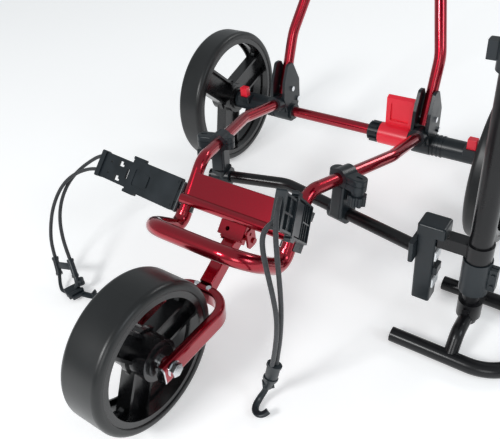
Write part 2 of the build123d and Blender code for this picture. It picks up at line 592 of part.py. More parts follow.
# ---- seat attachment: clamps, beam, socket block, post and foot ---------------------------
BEAM_POINTS = [(-146, -289, BEAM_Z), (0, -252, BEAM_Z), (270, -303, BEAM_Z)]
rail_run = Vector(*RAIL_BEND) - Vector(*LEG_TOP)
clamp_along = rail_run.normalized()
clamp_out = Vector(clamp_along.Y, -clamp_along.X, 0).normalized()
CLAMP_SHARE = 0.394      # how far up the rail the clamp sits, from the top of the leg
CLAMP = Plane(
    origin=Vector(*LEG_TOP) + rail_run * CLAMP_SHARE,
    x_dir=clamp_out,
    z_dir=clamp_out.cross(clamp_along),
)
KNOB_X = 32.0
CLAMP_R = 18.0           # the ring round the rail
clamp_mid = CLAMP.origin


def beam_line(x):
    """Point of the beam's straight run on the side where x lies."""
    end = BEAM_POINTS[2] if x > 0 else BEAM_POINTS[0]
    share = x / end[0]
    return Vector(x, BEAM_POINTS[1][1] + share * (end[1] - BEAM_POINTS[1][1]), BEAM_Z)


with BuildPart() as right_clamp_upper:
    slab(CLAMP, (-27, 45), (-14, 14), (0.4, 11), 13)
    ear_rim = right_clamp_upper.faces().sort_by(Axis.Z)[-1].edges()
    fillet(ear_rim, 3)
    rod(clamp_mid - clamp_along * 15, clamp_mid + clamp_along * 15, CLAMP_R)
    slab(CLAMP, (-60, 60), (-60, 60), (-40, 0.4), mode=Mode.SUBTRACT)
    slab(CLAMP, (KNOB_X - 6, KNOB_X + 6), (-2.5, 2.5), (9.4, 13), 2, mode=Mode.SUBTRACT)
    rod(clamp_mid - clamp_along * 40, clamp_mid + clamp_along * 40, TUBE_R, mode=Mode.SUBTRACT)
    rod(CLAMP.from_local_coords((KNOB_X, 0, 9)), CLAMP.from_local_coords((KNOB_X, 0, -40)), 4)
save(right_clamp_upper, "right_clamp_upper")

HANGER_DROP = 71.0
hanger_foot = beam_line(124)
beam_dir = (Vector(*BEAM_POINTS[2]) - Vector(*BEAM_POINTS[1])).normalized()
with BuildPart() as right_clamp_lower:
    slab(CLAMP, (-27, 45), (-14, 14), (-11, -0.4), 13)
    rod(clamp_mid - clamp_along * 15, clamp_mid + clamp_along * 15, CLAMP_R)
    slab(CLAMP, (-60, 60), (-60, 60), (-0.4, 40), mode=Mode.SUBTRACT)
    rod(CLAMP.from_local_coords((KNOB_X, 0, -1)), CLAMP.from_local_coords((KNOB_X, 0, -19)), 11)
    slab(CLAMP, (-11, 15), (-16, 16), (-HANGER_DROP, -12), 5)
    rod(hanger_foot - beam_dir * 17, hanger_foot + beam_dir * 17, 18)
    slab(CLAMP, (-4, 8), (13, 19), (-60, -24), 2)
    rod(hanger_foot - beam_dir * 60, hanger_foot + beam_dir * 60, TUBE_R, mode=Mode.SUBTRACT)
    rod(clamp_mid - clamp_along * 40, clamp_mid + clamp_along * 40, TUBE_R, mode=Mode.SUBTRACT)
    bolt_top = CLAMP.from_local_coords((KNOB_X, 0, 10))
    rod(bolt_top, CLAMP.from_local_coords((KNOB_X, 0, -50)), 4, mode=Mode.SUBTRACT)
save(right_clamp_lower, "right_clamp_lower")

with BuildPart() as right_clamp_knob:
    knob_foot = CLAMP.from_local_coords((KNOB_X, 0, -19.4))
    star_knob(knob_foot, -CLAMP.z_dir, 16, 17, 4 + RUN_GAP)
save(right_clamp_knob, "right_clamp_knob")

left_hanger_foot = beam_line(-124)
left_beam_dir = (Vector(*BEAM_POINTS[1]) - Vector(*BEAM_POINTS[0])).normalized()
with BuildPart() as left_clamp_lower:
    mirror(right_clamp_lower.part, about=Plane.YZ)
    slab(Plane.XY, (-150, -98), (-330, -240), (130, 176), mode=Mode.SUBTRACT)
    slab(Plane.XY, (-138, -111), (-299, -267), (158, 177), 5)
    rod(left_hanger_foot - left_beam_dir * 17, left_hanger_foot + left_beam_dir * 17, 18)
    rod(left_hanger_foot - left_beam_dir * 60, left_hanger_foot + left_beam_dir * 60, TUBE_R, mode=Mode.SUBTRACT)
save(left_clamp_lower, "left_clamp_lower")
for source, name in ((right_clamp_upper, "left_clamp_upper"), (right_clamp_knob, "left_clamp_knob")):
    with BuildPart() as mirrored_part:
        mirror(source.part, about=Plane.YZ)
    save(mirrored_part, name)

with BuildPart() as seat_beam:
    tube(BEAM_POINTS, 60, TUBE_R, 2)
    beam_end = Vector(*BEAM_POINTS[0])
    rod(beam_end, beam_end + left_beam_dir * 12, TUBE_R - 2)
    rod(beam_end, beam_end - left_beam_dir * 3, TUBE_R)
save(seat_beam, "seat_beam")

BLOCK_X, BLOCK_Y = (270, 300), (-306, -276)
STUB_Z = (168, 190)
with BuildPart() as seat_block:
    slab(Plane.XY, BLOCK_X, BLOCK_Y, (52, 190), 4)
    slab(Plane.XY, (270, 314), (-309, -273), (190, 210), 5)
    slab(Plane.XY, (264, 272), (-322, -270), (140, 178), 3)
    fillet(seat_block.faces().sort_by(Axis.Z)[-1].edges(), 4)
    slab(Plane.XY, (274, 296), (-302, -280), (48, 70), mode=Mode.SUBTRACT)
    slab(Plane.XY, (293, 320), (-302, -280), (110, 125), mode=Mode.SUBTRACT)
    rod(beam_line(200), beam_line(270), TUBE_R, mode=Mode.SUBTRACT)
save(seat_block, "seat_block")

with BuildPart() as block_glides:
    for low in (82, 140):
        slab(Plane.XY, (300, 303), (-303, -279), (low, low + 17), 1)
save(block_glides, "block_glides")

with BuildPart() as block_latch:
    slab(Plane.XY, (295.5, 306), (-301.7, -280.3), (110.3, 124.7), 1)
save(block_latch, "block_latch")

POST_R, LEG_R = 17.0, 14.0
POST_FOOT, POST_TOP = 118.0, 500.0
post_x, post_y = POST_X, POST_Y
with BuildPart() as seat_post:
    rod((post_x, post_y, POST_FOOT), (post_x, post_y, POST_TOP), POST_R)
    slab(Plane.XY, (300, 350), (post_y - 11, post_y + 11), STUB_Z, 2)
    rod((post_x, post_y, STUB_Z[0] - 4), (post_x, post_y, STUB_Z[1] + 4), POST_R + 3)
    bore = LEG_R + RUN_GAP
    rod((post_x, post_y, 100), (post_x, post_y, 520), bore, mode=Mode.SUBTRACT)
save(seat_post, "seat_post")

with BuildPart() as post_collar:
    rod((post_x, post_y, 100), (post_x, post_y, 163.5), 22)
    slab(Plane.XY, (post_x + 18, post_x + 32), (post_y - 7, post_y + 7), (112, 154))
    slab(Plane.XY, (post_x + 10, post_x + 40), (post_y - 1, post_y + 1), (90, 170), mode=Mode.SUBTRACT)
    rod((post_x, post_y, POST_FOOT), (post_x, post_y, 170), POST_R, mode=Mode.SUBTRACT)
    rod((post_x, post_y, 90), (post_x, post_y, 130), LEG_R + RUN_GAP, mode=Mode.SUBTRACT)
    for z in (122, 144):
        rod((post_x + 26.5, post_y - 9, z), (post_x + 26.5, post_y + 9, z), 3)
save(post_collar, "post_collar")

HOOP_R = 12.5
HOOP_FRONT, HOOP_REAR = -366.0, -213.0
HOOP_TIP_X = 466.0
ARCH_Z = 44.0
FOOT_BOLT_Z = 66.0
with BuildPart() as foot_hoop:
    sides = (HOOP_FRONT + 1, HOOP_FRONT + 28, HOOP_REAR - 28, HOOP_REAR - 1)
    heights = (HOOP_R, ARCH_Z, ARCH_Z, HOOP_R)
    tube([(post_x, y, z) for y, z in zip(sides, heights)], 22, 11)
    rod((post_x, post_y, ARCH_Z), (post_x, post_y, FOOT_BOLT_Z + 10), 19)
    rod((post_x, post_y, 30), (post_x, post_y, 90), LEG_R, mode=Mode.SUBTRACT)
    for y in (HOOP_FRONT, HOOP_REAR):
        rod((250, y, HOOP_R), (420, y, HOOP_R), HOOP_R - 1, mode=Mode.SUBTRACT)
    route = [(268, HOOP_FRONT, HOOP_R), (HOOP_TIP_X, HOOP_FRONT, HOOP_R)]
    route += [(HOOP_TIP_X, HOOP_REAR, HOOP_R), (298, HOOP_REAR, HOOP_R)]
    tube(route, 76, HOOP_R, 2)
    for x, y in ((268, HOOP_FRONT), (298, HOOP_REAR)):
        rod((x, y, HOOP_R), (x + 14, y, HOOP_R), HOOP_R - 2)
        rod((x - 3, y, HOOP_R), (x, y, HOOP_R), HOOP_R)
save(foot_hoop, "foot_hoop")

with BuildPart() as foot_leg:
    rod((post_x, post_y, 30.5), (post_x, post_y, 300), LEG_R)
    rod((post_x - 20, post_y, 88), (post_x + 20, post_y, 88), 3, mode=Mode.SUBTRACT)
    for face in (-1, 1):
        hexagon((post_x, post_y + face * 19, FOOT_BOLT_Z), (0, face, 0), 9, 4)
save(foot_leg, "foot_leg")

# ---- seat ---------------------------------------------------------------------------------
SEAT_Z = 640.0
with BuildPart() as height_collar:
    rod((post_x, post_y, POST_TOP - 34), (post_x, post_y, POST_TOP + 8), 22, POST_R)
    rod((post_x, post_y, POST_TOP), (post_x, post_y, POST_TOP + 8), 20, LEG_R + RUN_GAP)
    slab(Plane.XY, (post_x - 34, post_x - 20), (post_y - 7, post_y + 7), (POST_TOP - 24, POST_TOP), 2)
save(height_collar, "height_collar")

with BuildPart() as inner_post:
    rod((post_x, post_y, 330), (post_x, post_y, SEAT_Z - 4), LEG_R)
    rod((post_x, post_y, SEAT_Z - 40), (post_x, post_y, SEAT_Z - 28), 20, LEG_R)
save(inner_post, "inner_post")

with BuildPart() as seat_plate:
    slab(Plane.XY, (post_x - 120, post_x + 120), (post_y - 100, post_y + 100), (SEAT_Z, SEAT_Z + 6), 34)
    rod((post_x, post_y, SEAT_Z - 27.7), (post_x, post_y, SEAT_Z), 24, LEG_R + RUN_GAP)
    for offset in (-48, 48):
        slab(Plane.XY, (post_x - 110, post_x + 110), (post_y + offset - 2, post_y + offset + 2), (SEAT_Z - 8, SEAT_Z))
        slab(Plane.XY, (post_x + offset - 2, post_x + offset + 2), (post_y - 90, post_y + 90), (SEAT_Z - 8, SEAT_Z))
save(seat_plate, "seat_plate")

PAD_HALF_X, PAD_HALF_Y, PAD_DEPTH = 150.0, 125.0, 50.0
with BuildPart() as seat_pad:
    x_span = (post_x - PAD_HALF_X, post_x + PAD_HALF_X)
    y_span = (post_y - PAD_HALF_Y, post_y + PAD_HALF_Y)
    slab(Plane.XY, x_span, y_span, (SEAT_Z + 6.4, SEAT_Z + 6.4 + PAD_DEPTH), 55)
    fillet(seat_pad.faces().sort_by(Axis.Z)[-1].edges(), 18)
    fillet(seat_pad.faces().sort_by(Axis.Z)[0].edges(), 8)
save(seat_pad, "seat_pad")
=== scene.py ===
import json
import math

import bmesh
import bpy
from mathutils import Matrix, Vector, noise
from mathutils.bvhtree import BVHTree


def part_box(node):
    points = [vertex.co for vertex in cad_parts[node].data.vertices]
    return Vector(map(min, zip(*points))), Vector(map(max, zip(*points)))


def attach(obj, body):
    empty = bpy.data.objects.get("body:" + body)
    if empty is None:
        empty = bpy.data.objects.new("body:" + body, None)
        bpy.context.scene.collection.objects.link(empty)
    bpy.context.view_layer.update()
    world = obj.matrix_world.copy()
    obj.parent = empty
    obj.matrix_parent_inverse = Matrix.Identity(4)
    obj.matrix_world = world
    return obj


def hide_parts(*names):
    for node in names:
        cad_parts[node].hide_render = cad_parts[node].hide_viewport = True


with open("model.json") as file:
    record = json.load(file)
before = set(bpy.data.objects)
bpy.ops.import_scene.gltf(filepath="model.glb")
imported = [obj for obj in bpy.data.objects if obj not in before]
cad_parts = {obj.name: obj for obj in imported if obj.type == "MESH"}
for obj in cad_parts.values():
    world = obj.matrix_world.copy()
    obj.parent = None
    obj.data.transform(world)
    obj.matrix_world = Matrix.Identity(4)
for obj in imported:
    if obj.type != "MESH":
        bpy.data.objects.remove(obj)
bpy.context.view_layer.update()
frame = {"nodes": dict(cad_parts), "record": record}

MM = 0.001
UP = Vector((0, 0, 1))


def link_object(name, data):
    """New object in the scene's collection."""
    made = bpy.data.objects.new(name, data)
    bpy.context.scene.collection.objects.link(made)
    return made


def object_from(bm, name):
    """New object with the bmesh as its mesh. The bmesh is freed."""
    mesh = bpy.data.meshes.new(name)
    bm.to_mesh(mesh)
    bm.free()
    return link_object(name, mesh)


def smooth_faces(piece):
    for face in piece.data.polygons:
        face.use_smooth = True


def bridge(bm, near, far):
    """Faces between two closed rings of the same number of vertices."""
    for i in range(len(near)):
        j = (i + 1) % len(near)
        bm.faces.new((near[i], near[j], far[j], far[i]))


# ---- camera and stage ---------------------------------------------------------------------
CAMERA_PLACE = (0.50594, -0.99207, 0.79608)
CAMERA_AZIMUTH, CAMERA_ELEVATION, CAMERA_ROLL = 39.19, 38.48, -7.16
CAMERA_LENS = 42.86
CAMERA_NEAR = 0.02

FLOOR_SIZE = 6
FLOOR_GREY = 0.93
FLOOR_ROUGHNESS = 0.9
FLOOR_GLOW = 0.30
SKY_COLOUR = (0.92, 0.97, 1, 1)
SKY_STRENGTH = 0.45
LIGHT_TARGET = (0, -0.3, 0.2)
COOL_WHITE = (0.88, 0.95, 1)


def add_camera():
    """Camera at the standing viewer's place, in front of the cart and to its seat side."""
    azimuth, elevation, roll = (
        math.radians(angle) for angle in (CAMERA_AZIMUTH, CAMERA_ELEVATION, CAMERA_ROLL)
    )
    back = Vector((
        math.sin(azimuth) * math.cos(elevation),
        -math.cos(azimuth) * math.cos(elevation),
        math.sin(elevation),
    ))
    right = Vector((math.cos(azimuth), math.sin(azimuth), 0))
    up = back.cross(right)
    right_rolled = right * math.cos(roll) + up * math.sin(roll)
    up_rolled = up * math.cos(roll) - right * math.sin(roll)
    data = bpy.data.cameras.new("camera")
    data.sensor_fit = "HORIZONTAL"
    data.sensor_width = 36
    data.lens = CAMERA_LENS
    data.clip_start = CAMERA_NEAR
    camera = link_object("camera", data)
    turn = Matrix((right_rolled, up_rolled, back)).transposed().to_4x4()
    camera.matrix_world = Matrix.Translation(CAMERA_PLACE) @ turn
    bpy.context.scene.camera = camera


def add_area_light(name, place, size, power, colour=(1, 1, 1)):
    data = bpy.data.lights.new(name, "AREA")
    data.shape = "RECTANGLE"
    data.size, data.size_y = size
    data.energy = power
    data.color = colour
    light = link_object(name, data)
    light.location = place
    aim = Vector(LIGHT_TARGET) - Vector(place)
    light.rotation_euler = aim.to_track_quat("-Z", "Y").to_euler()


def add_stage():
    """White studio floor, even pale surroundings and soft lights."""
    bm = bmesh.new()
    bmesh.ops.create_grid(bm, x_segments=1, y_segments=1, size=FLOOR_SIZE)
    floor = object_from(bm, "floor")
    paint = bpy.data.materials.new("floor_paint")
    paint.use_nodes = True
    shader = paint.node_tree.nodes["Principled BSDF"]
    shader.inputs["Base Color"].default_value = (FLOOR_GREY, FLOOR_GREY, FLOOR_GREY, 1)
    shader.inputs["Roughness"].default_value = FLOOR_ROUGHNESS
    shader.inputs["Emission Color"].default_value = (1, 1, 1, 1)
    shader.inputs["Emission Strength"].default_value = FLOOR_GLOW
    floor.data.materials.append(paint)
    world = bpy.data.worlds.new("studio")
    world.use_nodes = True
    world.node_tree.nodes["Background"].inputs["Color"].default_value = SKY_COLOUR
    world.node_tree.nodes["Background"].inputs["Strength"].default_value = SKY_STRENGTH
    bpy.context.scene.world = world
    bpy.context.scene.view_settings.view_transform = "Standard"
    add_area_light("key", (-0.5, -2.7, 1.9), (0.7, 0.6), 36)
    add_area_light("fill", (2.4, -0.4, 1.5), (0.8, 0.8), 10, COOL_WHITE)
    add_area_light("rear", (1.2, 2.4, 2.0), (1.2, 0.6), 16)
    add_area_light("front", (1.5, -2.4, 1.2), (0.9, 1.0), 10)


# ---- materials ----------------------------------------------------------------------------
PATCH_DETAIL, GRAIN_DETAIL = 4.0, 6
NOISE_LOW, NOISE_HIGH = 0.3, 0.7
# Places of the colour sockets on a Mix node, whose names aren't unique.
MIX_FACTOR, MIX_FIRST, MIX_SECOND, MIX_RESULT = 0, 6, 7, 2


def texture(tree, kind, scale):
    """Texture in the object's own coordinates, which are metres."""
    place = tree.nodes.new("ShaderNodeTexCoord")
    field = tree.nodes.new(kind)
    field.inputs["Scale"].default_value = scale
    tree.links.new(place.outputs["Object"], field.inputs["Vector"])
    return field


def noise_field(tree, scale, detail):
    field = texture(tree, "ShaderNodeTexNoise", scale)
    field.inputs["Detail"].default_value = detail
    return field.outputs["Fac"]


def cell_field(tree, scale):
    return texture(tree, "ShaderNodeTexVoronoi", scale).outputs["Distance"]


def ramp(tree, value, low, high):
    """Map the middle of a noise's range onto low to high."""
    span = tree.nodes.new("ShaderNodeMapRange")
    span.inputs["From Min"].default_value = NOISE_LOW
    span.inputs["From Max"].default_value = NOISE_HIGH
    span.inputs["To Min"].default_value = low
    span.inputs["To Max"].default_value = high
    tree.links.new(value, span.inputs["Value"])
    return span.outputs["Result"]


def mixed_colour(tree, value, first, second):
    mix = tree.nodes.new("ShaderNodeMix")
    mix.data_type = "RGBA"
    mix.inputs[MIX_FIRST].default_value = (*first, 1)
    mix.inputs[MIX_SECOND].default_value = (*second, 1)
    tree.links.new(ramp(tree, value, 0, 1), mix.inputs[MIX_FACTOR])
    return mix.outputs[MIX_RESULT]


def set_bump(tree, height, distance, strength):
    bump = tree.nodes.new("ShaderNodeBump")
    bump.inputs["Distance"].default_value = distance
    bump.inputs["Strength"].default_value = strength
    tree.links.new(height, bump.inputs["Height"])
    tree.links.new(bump.outputs["Normal"], tree.nodes["Principled BSDF"].inputs["Normal"])


def new_material(name, first, second, rough, patch_scale, grain, **sockets):
    """Material with patchy colour and roughness, and a fine surface grain.

    first and second are the colours it drifts between, rough the range of roughness, patch_scale
    the patches per metre, and grain (scale, depth in metres, strength).
    """
    material = bpy.data.materials.new(name)
    material.use_nodes = True
    tree = material.node_tree
    shader = tree.nodes["Principled BSDF"]
    patches = noise_field(tree, patch_scale, PATCH_DETAIL)
    tree.links.new(mixed_colour(tree, patches, first, second), shader.inputs["Base Color"])
    tree.links.new(ramp(tree, patches, *rough), shader.inputs["Roughness"])
    scale, depth, strength = grain
    set_bump(tree, noise_field(tree, scale, GRAIN_DETAIL), depth, strength)
    for socket, value in sockets.items():
        shader.inputs[socket.replace("_", " ")].default_value = value
    return material


def candy_red():
    """Deep translucent red over metal flake, under clear lacquer."""
    return new_material(
        "candy_red", (0.40, 0.001, 0.018), (0.31, 0.001, 0.012), (0.20, 0.27), 9,
        (160, 0.00002, 0.05),
        Metallic=0.9, Coat_Weight=0.85, Coat_Roughness=0.05, Coat_IOR=1.5,
    )


def satin_black():
    """Powder-coated steel."""
    return new_material(
        "satin_black", (0.004, 0.004, 0.005), (0.007, 0.007, 0.008), (0.24, 0.34), 14,
        (1500, 0.00005, 0.3), Specular_IOR_Level=0.32, Coat_Weight=0.12, Coat_Roughness=0.15,
    )


def moulded_black():
    """Semi-gloss moulded nylon with a fine spark-eroded grain. The blue tint of its two colours
    is a painted bluish sheen.
    """
    return new_material(
        "moulded_black", (0.007, 0.011, 0.014), (0.012, 0.018, 0.023), (0.28, 0.40), 26,
        (1100, 0.00012, 0.42), Specular_IOR_Level=0.45,
    )


def rim_black():
    """Glossier moulded plastic of the wheels' spokes and hubs."""
    return new_material(
        "rim_black", (0.004, 0.004, 0.005), (0.007, 0.007, 0.008), (0.20, 0.30), 18,
        (900, 0.00006, 0.3), Specular_IOR_Level=0.6, Coat_Weight=0.2, Coat_Roughness=0.2,
    )


def tyre_black():
    """Smooth foamed tyre with a soft shine and faint scuffs."""
    return new_material(
        "tyre_black", (0.005, 0.006, 0.006), (0.010, 0.011, 0.012), (0.30, 0.44), 11,
        (700, 0.00010, 0.4), Specular_IOR_Level=0.5, Sheen_Weight=0.03, Sheen_Roughness=0.5,
    )


def pedal_red():
    """Bright moulded red of the pedal and the buttons."""
    return new_material(
        "pedal_red", (0.86, 0.008, 0.030), (0.93, 0.016, 0.045), (0.28, 0.40), 22,
        (900, 0.00008, 0.35), Coat_Weight=0.25, Coat_Roughness=0.2,
    )


def glide_white():
    """White moulded plastic."""
    return new_material(
        "glide_white", (0.72, 0.75, 0.78), (0.82, 0.84, 0.86), (0.30, 0.42), 40,
        (900, 0.00006, 0.3), Coat_Weight=0.1,
    )


def zinc_chrome():
    """Bright plated steel of the bolts and pins."""
    return new_material(
        "zinc_chrome", (0.70, 0.72, 0.75), (0.82, 0.83, 0.85), (0.10, 0.22), 60,
        (2200, 0.00004, 0.3), Metallic=1.0,
    )


def foam_grip():
    """Open-pored foam rubber."""
    return new_material(
        "foam_grip", (0.018, 0.018, 0.020), (0.032, 0.032, 0.036), (0.75, 0.9), 50,
        (2400, 0.0004, 0.7), Sheen_Weight=0.3,
    )


def woven_cord():
    """Elastic cord in a tight braided sleeve."""
    material = new_material(
        "woven_cord", (0.012, 0.013, 0.015), (0.035, 0.038, 0.043), (0.55, 0.72), 220,
        (1800, 0.0001, 0.3), Sheen_Weight=0.35, Sheen_Roughness=0.4,
    )
    set_bump(material.node_tree, cell_field(material.node_tree, 620), 0.0005, 0.7)
    return material


def grained_vinyl():
    """Black upholstery vinyl with a pebbled grain."""
    material = new_material(
        "grained_vinyl", (0.016, 0.016, 0.018), (0.028, 0.028, 0.031), (0.38, 0.52), 30,
        (1400, 0.0001, 0.3), Specular_IOR_Level=0.5, Coat_Weight=0.08,
    )
    set_bump(material.node_tree, cell_field(material.node_tree, 420), 0.0006, 0.55)
    return material


def dress_nodes():
    """Give every CAD node the material of its slot in the record."""
    made = {
        "red_paint": candy_red(),
        "black_paint": satin_black(),
        "black_plastic": moulded_black(),
        "bright_red_plastic": pedal_red(),
        "white_plastic": glide_white(),
        "chrome": zinc_chrome(),
        "tyre": tyre_black(),
        "rim_plastic": rim_black(),
        "cord": woven_cord(),
        "foam": foam_grip(),
        "cover": grained_vinyl(),
    }
    for part in frame["record"]["subparts"]:
        node = frame["nodes"][part["node"]]
        for material_slot in node.material_slots:
            material_slot.link = "OBJECT"
            material_slot.material = made[part["material_slot"]]
        if not node.material_slots:
            node.data.materials.append(made[part["material_slot"]])
    return made


# ---- elastic cords ------------------------------------------------------------------------
CORD_DIAMETER = 0.007
# The points of each strand, in millimetres, from its hole in the arm's end plate to its clip.
CORD_ROUTES = {
    "left_cord_inner": ("left", [
        (-328.2, -387.9, 205.9), (-342, -390, 201), (-361, -396, 189), (-380, -407, 175),
        (-392, -422, 162), (-397, -440, 149), (-395, -460, 135), (-387, -480, 120),
        (-373, -499, 104), (-355, -515, 88), (-336, -528, 72), (-320, -537, 55),
    ]),
    "left_cord_outer": ("left", [
        (-329.7, -407.8, 186.2), (-344, -409, 184), (-361, -414, 179), (-377, -423, 173),
        (-389, -436, 165), (-398, -452, 153), (-403, -469, 136), (-404, -487, 115),
        (-400, -504, 92), (-392, -519, 71), (-381, -530, 55), (-368, -539, 41),
    ]),
    "right_cord_outer": ("right", [
        (169.4, -517, 361.8), (174, -530, 357), (178, -541, 346), (181, -549, 329),
        (184, -554, 306), (187, -558, 280), (189, -561, 251), (189.5, -563, 220),
        (188, -565, 187), (183.5, -565.5, 151), (178, -566.5, 119), (174, -567, 94),
    ]),
    "right_cord_inner": ("right", [
        (174.2, -536.5, 342.3), (167, -547, 337), (165.5, -556, 326), (169, -562, 309),
        (174.5, -566, 288), (180.5, -569.5, 265), (185.5, -572, 240), (188, -573, 213),
        (186.5, -574, 181), (181.5, -574.5, 147), (175.5, -574.5, 116), (170, -574, 94),
    ]),
}


def route_curve(name, points, radius):
    """Smooth open curve with the route's points as its control points, radius in metres."""
    data = bpy.data.curves.new(name, "CURVE")
    data.dimensions = "3D"
    data.bevel_depth = radius
    data.bevel_resolution = 5
    data.resolution_u = 10
    data.use_fill_caps = True
    spline = data.splines.new("NURBS")
    spline.points.add(len(points) - 1)
    for target, point in zip(spline.points, points):
        target.co = (*[c * MM for c in point], 1)
    spline.order_u = 3
    spline.use_endpoint_u = True
    return link_object(name, data)


def smooth_line(points):
    """Points along the smooth line, read from the curve's own mesh."""
    probe = route_curve("probe", points, 0)
    mesh = bpy.data.meshes.new_from_object(probe)
    line = [v.co.copy() for v in mesh.vertices]
    bpy.data.objects.remove(probe)
    return line


def line_length(line):
    return sum((b - a).length for a, b in zip(line, line[1:]))


# ---- cord clips and hooks -----------------------------------------------------------------
# Places and sizes here are in millimetres.
TUBE_SIDES = 18
SHARP_ANGLE = math.radians(38)
SLEEVE_WAIST, SLEEVE_LIP = 0.92, 1.08
SLEEVE_LIP_STEPS = (1.2, 3.4, 4.4)
LEFT_STAY = [(-299, -550, 36), (-293, -554, 30), (-292, -558, 20), (-295, -562, 14)]
LEFT_LOOP = [
    (-347, -554, 24), (-341, -561, 17), (-331, -570, 11), (-318, -577, 8), (-304, -574, 9),
]
LEFT_STRAP = [
    (-292, -564, 10), (-280, -562, 8), (-266, -559, 8), (-254, -557, 9), (-246, -556, 13),
    (-243, -556, 20), (-247, -557, 26),
]
RIGHT_CLIP = [(173, -570, 99), (169, -570.5, 82), (165, -570, 66), (160, -569.5, 52)]
RIGHT_NECK = [(162, -569.5, 58), (159, -569.5, 48), (155, -569, 36)]
RIGHT_HOOK = [
    (155, -569, 36), (152, -573, 26), (147, -581, 14), (146, -593, 8.5), (151, -602, 8),
    (160, -605, 9.5), (168, -601, 12), (171, -595, 15),
]


def sweep(bm, line, half_width, half_height, lift):
    """Sweep an oval along a line in metres. lift is the direction its height lies nearest to."""
    rings = []
    for i, here in enumerate(line):
        ahead = (line[min(i + 1, len(line) - 1)] - line[max(i - 1, 0)]).normalized()
        tall = (lift - ahead * lift.dot(ahead)).normalized()
        across = ahead.cross(tall)
        ring = []
        for side in range(TUBE_SIDES):
            angle = 2 * math.pi * side / TUBE_SIDES
            reach = (
                across * (math.cos(angle) * half_width * MM)
                + tall * (math.sin(angle) * half_height * MM)
            )
            ring.append(bm.verts.new(here + reach))
        rings.append(ring)
    for near, far in zip(rings, rings[1:]):
        bridge(bm, near, far)
    bm.faces.new(list(reversed(rings[0])))
    bm.faces.new(rings[-1])


def add_sleeve(bm, start, end, radius, lift):
    """Moulded sleeve with a rolled lip at each end."""
    start, end = (Vector(p) * MM for p in (start, end))
    along = (end - start).normalized() * MM
    waist, lip = radius * SLEEVE_WAIST, radius * SLEEVE_LIP
    sweep(bm, [start + along, end - along], waist, waist, lift)
    for place, way in ((start, 1), (end, -1)):
        line = [place] + [place + along * way * step for step in SLEEVE_LIP_STEPS]
        sweep(bm, line, lip, lip, lift)


def add_block(bm, centre, x_dir, y_dir, size, round_by):
    """Box with rounded edges, its size given along x_dir, y_dir and their normal."""
    x_dir, y_dir = Vector(x_dir).normalized(), Vector(y_dir).normalized()
    z_dir = x_dir.cross(y_dir).normalized()
    y_dir = z_dir.cross(x_dir)
    turn = Matrix((x_dir * size[0], y_dir * size[1], z_dir * size[2])).transposed() * MM
    place = Matrix.Translation(Vector(centre) * MM) @ turn.to_4x4()
    new = bmesh.ops.create_cube(bm, size=1, matrix=place)["verts"]
    edges = list({edge for vert in new for edge in vert.link_edges})
    bmesh.ops.bevel(
        bm, geom=edges, offset=round_by * MM, segments=3, affect="EDGES", profile=0.5,
    )


def finish_clip(bm, word, material):
    """Make the clip an object that rides on its arm's slider and stands for the CAD hook."""
    bmesh.ops.recalc_face_normals(bm, faces=bm.faces)
    clip = object_from(bm, f"{word}_clip")
    smooth_faces(clip)
    clip.data.set_sharp_from_angle(angle=SHARP_ANGLE)
    clip.data.materials.append(material)
    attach(clip, f"{word}_arm_slider")
    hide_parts(f"{word}_cord_hook")
    return clip


def add_left_clip(material):
    """Double clip that holds the two strands apart, and the adjuster block with its hook."""
    bm = bmesh.new()
    add_sleeve(bm, (-370, -538, 43), (-346, -555, 22), 6.2, UP)
    add_sleeve(bm, (-322, -536, 57), (-298, -551, 35), 6.2, UP)
    add_block(bm, (-334, -544, 41), (48, 3, 14), (22, -14, -20), (42, 13, 5), 1.6)
    sweep(bm, smooth_line(LEFT_LOOP), 3.4, 3.4, UP)
    sweep(bm, smooth_line(LEFT_STAY), 5, 4, UP)
    along, across = (26, -9, 0), (-9, 30, 0)
    add_block(bm, (-300, -566, 11.5), along, across, (20, 29, 10), 2)
    add_block(bm, (-286, -569, 12), along, across, (6, 31, 13), 2.2)
    add_block(bm, (-279, -570, 9.5), along, across, (5, 24, 8), 1.8)
    add_sleeve(bm, (-291, -549, 31), (-289, -550, 19), 6.5, Vector((1, 0, 0)))
    sweep(bm, smooth_line(LEFT_STRAP), 6.5, 2.6, UP)
    return finish_clip(bm, "left", material)


def add_right_clip(material):
    """Clip that both strands go into, and the open hook below it."""
    bm = bmesh.new()
    lift = Vector((1, 0.3, 0.25)).normalized()
    sweep(bm, smooth_line(RIGHT_CLIP), 6.2, 10.2, lift)
    for rim in (((174, -570, 101), (172, -570.3, 95)), ((164, -570, 64), (162, -569.7, 58))):
        sweep(bm, [Vector(end) * MM for end in rim], 7.4, 11.6, lift)
    sweep(bm, smooth_line(RIGHT_NECK), 7, 8.2, lift)
    add_sleeve(bm, (163, -563, 40), (149, -574, 40), 7, UP)
    sweep(bm, smooth_line(RIGHT_HOOK), 5.6, 3.6, UP)
    return finish_clip(bm, "right", material)


def add_cords(material, clip_material):
    """The four strands, each ending in its arm's clip."""
    clips = {"left": add_left_clip(clip_material), "right": add_right_clip(clip_material)}
    for name, (word, points) in CORD_ROUTES.items():
        strand = route_curve(name, points, CORD_DIAMETER / 2)
        strand.data.materials.append(material)
        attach(strand, f"{word}_arm_slider")
        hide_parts(f"{word}_cord")
        round(line_length(smooth_line(points)), 3)


# ---- seat cushion -------------------------------------------------------------------------
PAD_LOW, PAD_HIGH = (Vector(corner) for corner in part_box("seat_pad"))
PAD_MIDDLE = (PAD_HIGH + PAD_LOW) / 2
PAD_HALF = (PAD_HIGH - PAD_LOW) / 2
PAD_CORNER = 0.052
# The slab starts this much inside the pad's sides, because it swells.
PAD_INSET = 0.007
BLANK_STEPS = 96
